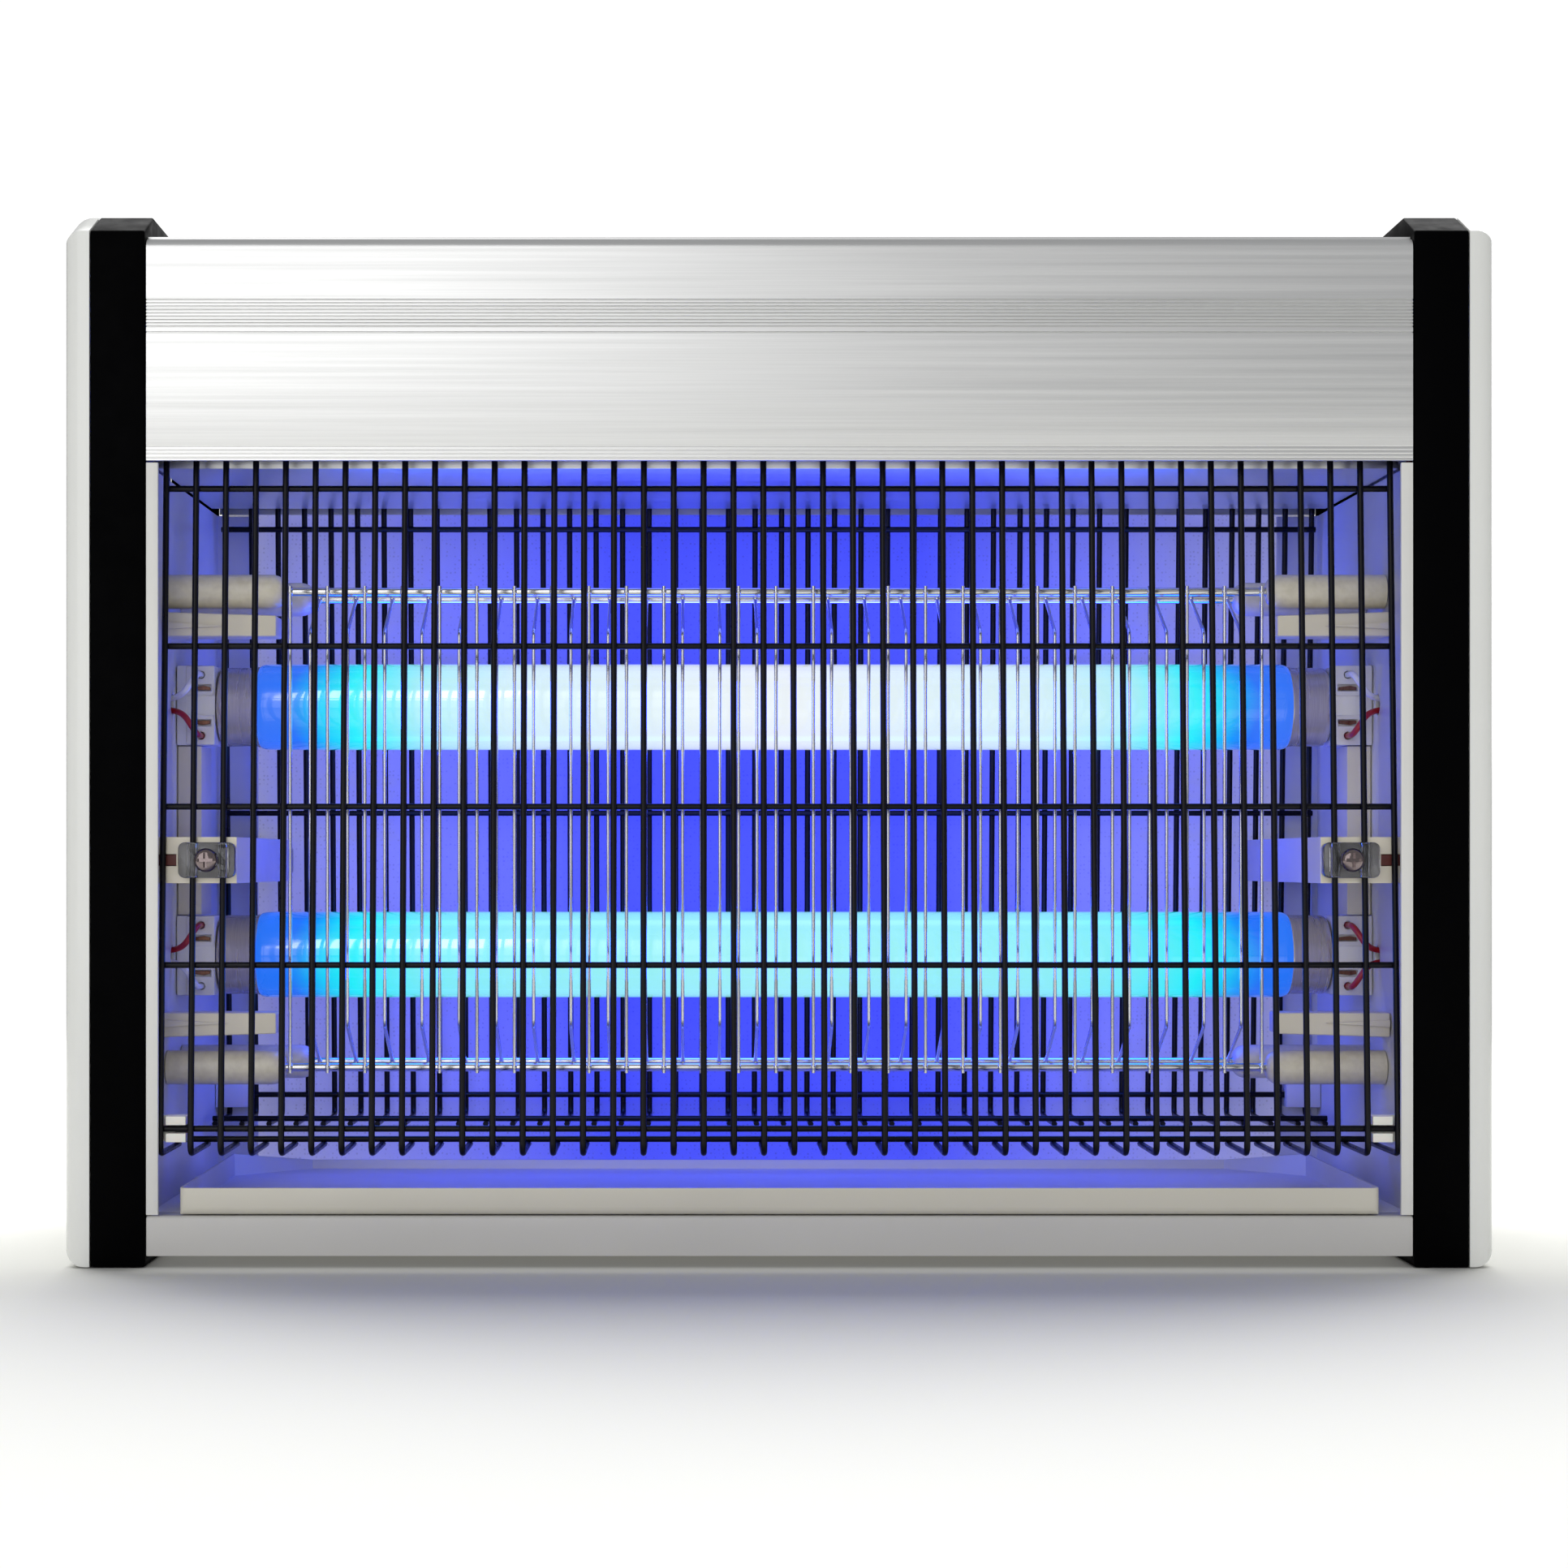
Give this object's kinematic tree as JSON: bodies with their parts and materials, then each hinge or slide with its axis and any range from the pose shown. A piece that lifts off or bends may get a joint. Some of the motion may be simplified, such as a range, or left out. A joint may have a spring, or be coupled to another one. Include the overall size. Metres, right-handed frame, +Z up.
{
  "type": "electric insect killer",
  "caption": "Free-standing electric insect killer: aluminium header, ultraviolet tubes and live wire grid behind black wire guards, pull-out tray, moulded end caps.",
  "frame": {"origin": "bottom centre of the body, on the surface it stands on", "axes": "+X along the width to the right seen from the front, +Y towards the rear, +Z up; the front faces -Y"},
  "size_m": [0.4, 0.13, 0.2955],
  "materials": {
    "white_cap": "moulded white, glossy",
    "black_trim": "moulded black, glossy",
    "black_switch": "moulded black",
    "white_panel": "white, semi-gloss",
    "aluminium": "brushed along its length, satin",
    "tray_paint": "cream, semi-gloss",
    "guard_wire": "black powder coat",
    "grid_steel": "bright polished wire",
    "screw_steel": "bright nickel",
    "sleeve_ceramic": "beige, smooth",
    "beige_moulding": "beige, satin",
    "lamp_glass": "blue glowing phosphor tube",
    "lampholder": "light grey",
    "clear_plastic": "clear",
    "nylon": "natural white",
    "white_lead": "white insulation",
    "red_lead": "red insulation",
    "laminations": "varnished laminations",
    "zinc_case": "zinc plated",
    "rubber": "grey rubber"
  },
  "bodies": {
    "root": {"cord_inlet_grommet": "rubber", "front_base_rail": "aluminium", "front_guard": "guard_wire", "front_live_grid": "grid_steel", "header_base_plate": "aluminium", "header_housing": "aluminium", "high_voltage_transformer": "laminations", "lamp_ballast": "zinc_case", "left_black_trim": "black_trim", "left_end_cap": "white_cap", "left_front_clip_screw": "screw_steel", "left_front_guard_clip": "clear_plastic", "left_front_snap_clip": "nylon", "left_lower_bottom_lead": "white_lead", "left_lower_front_sleeve": "sleeve_ceramic", "left_lower_insulator_rib": "beige_moulding", "left_lower_lampholder": "lampholder", "left_lower_rear_sleeve": "sleeve_ceramic", "left_lower_top_lead": "red_lead", "left_mid_bracket": "beige_moulding", "left_rear_clip_screw": "screw_steel", "left_rear_guard_clip": "clear_plastic", "left_rear_snap_clip": "nylon", "left_side_panel": "white_panel", "left_upper_bottom_lead": "red_lead", "left_upper_front_sleeve": "sleeve_ceramic", "left_upper_insulator_rib": "beige_moulding", "left_upper_lampholder": "lampholder", "left_upper_rear_sleeve": "sleeve_ceramic", "left_upper_top_lead": "white_lead", "rear_base_rail": "aluminium", "rear_guard": "guard_wire", "rear_live_grid": "grid_steel", "right_black_trim": "black_trim", "right_end_cap": "white_cap", "right_front_clip_screw": "screw_steel", "right_front_guard_clip": "clear_plastic", "right_front_snap_clip": "nylon", "right_lower_bottom_lead": "red_lead", "right_lower_front_sleeve": "sleeve_ceramic", "right_lower_insulator_rib": "beige_moulding", "right_lower_lampholder": "lampholder", "right_lower_rear_sleeve": "sleeve_ceramic", "right_lower_top_lead": "red_lead", "right_mid_bracket": "beige_moulding", "right_rear_clip_screw": "screw_steel", "right_rear_guard_clip": "clear_plastic", "right_rear_snap_clip": "nylon", "right_side_panel": "white_panel", "right_upper_bottom_lead": "red_lead", "right_upper_front_sleeve": "sleeve_ceramic", "right_upper_insulator_rib": "beige_moulding", "right_upper_lampholder": "lampholder", "right_upper_rear_sleeve": "sleeve_ceramic", "right_upper_top_lead": "white_lead", "switch_housing": "black_switch"},
    "tray": {"collection_tray": "tray_paint"},
    "upper_tube": {"upper_lamp": "lamp_glass"},
    "lower_tube": {"lower_lamp": "lamp_glass"},
    "rocker": {"switch_rocker": "black_switch"}
  },
  "joints": [
    {"name": "tray_slide", "type": "slide", "parent": "root", "child": "tray", "axis": [0, -1, 0], "range_m": [0, 0.135]},
    {"name": "upper_tube_twist", "type": "hinge", "parent": "root", "child": "upper_tube", "pos_m": [0, -0.005, 0.1593], "axis": [1, 0, 0], "range_deg": [0, 90]},
    {"name": "lower_tube_twist", "type": "hinge", "parent": "root", "child": "lower_tube", "pos_m": [0, -0.005, 0.0853], "axis": [1, 0, 0], "range_deg": [0, 90]},
    {"name": "switch_rock", "type": "hinge", "parent": "root", "child": "rocker", "pos_m": [0.1965, 0.03, 0.162], "axis": [0, 1, 0], "range_deg": [-8, 8]}
  ]
}
